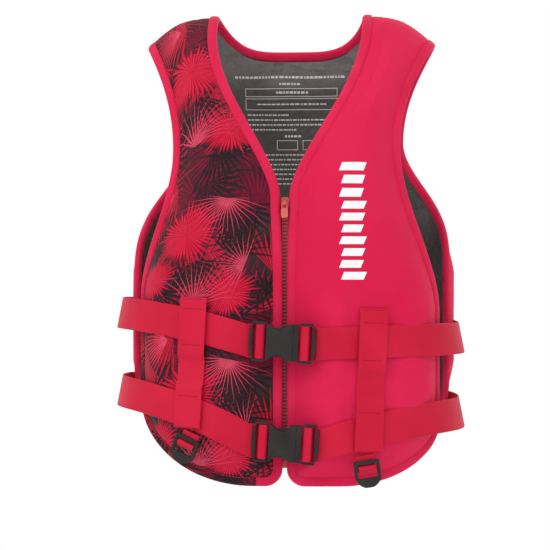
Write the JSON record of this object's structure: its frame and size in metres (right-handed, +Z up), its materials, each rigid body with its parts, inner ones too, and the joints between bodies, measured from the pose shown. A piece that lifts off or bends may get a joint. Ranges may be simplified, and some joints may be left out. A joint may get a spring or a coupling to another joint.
{
  "type": "life jacket",
  "caption": "Adult foam buoyancy vest with a zipped front, webbing belts with side-release buckles, belt keepers and strap adjusters.",
  "frame": {"origin": "on the wearer's body axis, level with the lowest point of the hem", "axes": "+Z up along the wearer's body, -Y the way the wearer faces, +X to the wearer's left (the plain panel)"},
  "size_m": [0.4114, 0.2922, 0.5472],
  "materials": {
    "printed_fabric": "matte",
    "plain_fabric": "matte",
    "lining": "matte",
    "binding": "matte",
    "foam": "matte",
    "webbing": "woven",
    "buckle_plastic": "satin",
    "zip_red": "satin",
    "zip_tape": "woven"
  },
  "bodies": {
    "vest": {"printed_front_shell": "printed_fabric", "plain_front_shell": "plain_fabric", "back_shell": "plain_fabric", "printed_front_lining": "lining", "plain_front_lining": "lining", "back_lining": "lining", "printed_front_edge_binding": "binding", "printed_front_side_binding": "binding", "printed_front_hem_binding": "binding", "plain_front_edge_binding": "binding", "plain_front_side_binding": "binding", "plain_front_hem_binding": "binding", "back_side_binding_printed": "binding", "back_side_binding_plain": "binding", "back_neck_binding": "binding", "back_hem_binding": "binding", "printed_front_foam": "foam", "plain_front_foam": "foam", "back_foam_lower": "foam", "back_foam_upper": "foam", "upper_belt_run": "webbing", "upper_belt_stretch_printed": "webbing", "upper_belt_stretch_plain": "webbing", "lower_belt_run": "webbing", "lower_belt_stretch_printed": "webbing", "lower_belt_stretch_plain": "webbing", "belt_keeper_printed": "webbing", "belt_keeper_plain": "webbing", "back_keeper_printed": "webbing", "back_keeper_plain": "webbing", "zip_teeth_printed": "zip_red", "zip_teeth_plain": "zip_red", "zip_bottom_box": "zip_red", "zip_tape_printed": "zip_tape", "zip_tape_plain": "zip_tape"},
    "upper_socket": {"upper_buckle_socket": "buckle_plastic", "upper_belt_loop_printed": "webbing"},
    "upper_plug": {"upper_buckle_plug": "buckle_plastic", "upper_belt_loop_plain": "webbing"},
    "upper_prong_top": {"upper_prong_top": "buckle_plastic"},
    "upper_prong_bottom": {"upper_prong_bottom": "buckle_plastic"},
    "lower_socket": {"lower_buckle_socket": "buckle_plastic", "lower_belt_loop_printed": "webbing"},
    "lower_plug": {"lower_buckle_plug": "buckle_plastic", "lower_belt_loop_plain": "webbing"},
    "lower_prong_top": {"lower_prong_top": "buckle_plastic"},
    "lower_prong_bottom": {"lower_prong_bottom": "buckle_plastic"},
    "zip_slider": {"zip_slider": "zip_red"},
    "zip_pull": {"zip_pull": "zip_red"},
    "adjuster_printed": {"adjuster_printed": "buckle_plastic", "adjuster_webbing_printed": "webbing"},
    "adjuster_plain": {"adjuster_plain": "buckle_plastic", "adjuster_webbing_plain": "webbing"}
  },
  "joints": [
    {"name": "upper_socket_slide", "type": "slide", "parent": "vest", "child": "upper_socket", "axis": [-0.9988, 0, 0.05], "range_m": [0, 0.015], "deforming": ["upper_belt_stretch_printed"]},
    {"name": "upper_plug_slide", "type": "slide", "parent": "vest", "child": "upper_plug", "axis": [0.9988, 0, -0.05], "range_m": [0, 0.015], "deforming": ["upper_belt_stretch_plain"]},
    {"name": "lower_socket_slide", "type": "slide", "parent": "vest", "child": "lower_socket", "axis": [-0.9982, 0, 0.06], "range_m": [0, 0.015], "deforming": ["lower_belt_stretch_printed"]},
    {"name": "lower_plug_slide", "type": "slide", "parent": "vest", "child": "lower_plug", "axis": [0.9982, 0, -0.06], "range_m": [0, 0.015], "deforming": ["lower_belt_stretch_plain"]},
    {"name": "upper_prong_top_press", "type": "hinge", "parent": "upper_plug", "child": "upper_prong_top", "pos_m": [0.00954, -0.14321, 0.17349], "axis": [0, -1, 0], "range_deg": [0, 9], "stiffness_Nm_per_rad": 0.05},
    {"name": "upper_prong_bottom_press", "type": "hinge", "parent": "upper_plug", "child": "upper_prong_bottom", "pos_m": [0.00844, -0.14321, 0.15151], "axis": [0, 1, 0], "range_deg": [0, 9], "stiffness_Nm_per_rad": 0.05},
    {"name": "lower_prong_top_press", "type": "hinge", "parent": "lower_plug", "child": "lower_prong_top", "pos_m": [0.01264, -0.14321, 0.06138], "axis": [0, -1, 0], "range_deg": [0, 9], "stiffness_Nm_per_rad": 0.05},
    {"name": "lower_prong_bottom_press", "type": "hinge", "parent": "lower_plug", "child": "lower_prong_bottom", "pos_m": [0.01132, -0.14321, 0.03942], "axis": [0, 1, 0], "range_deg": [0, 9], "stiffness_Nm_per_rad": 0.05},
    {"name": "zip_slide", "type": "slide", "parent": "vest", "child": "zip_slider", "axis": [0, 0, -1], "range_m": [0, 0.28], "deforming": ["zip_teeth_printed", "zip_teeth_plain"]},
    {"name": "zip_pull_swing", "type": "hinge", "parent": "zip_slider", "child": "zip_pull", "pos_m": [0, -0.12035, 0.31937], "axis": [-1, 0, 0], "range_deg": [0, 165]},
    {"name": "adjuster_swing_printed", "type": "hinge", "parent": "vest", "child": "adjuster_printed", "pos_m": [-0.10349, -0.13125, 0.06023], "axis": [-0.8829, 0.2328, 0.4078], "range_deg": [0, 80]},
    {"name": "adjuster_swing_plain", "type": "hinge", "parent": "vest", "child": "adjuster_plain", "pos_m": [0.09058, -0.13438, 0.03652], "axis": [-0.9681, -0.2083, -0.1395], "range_deg": [0, 80]}
  ]
}
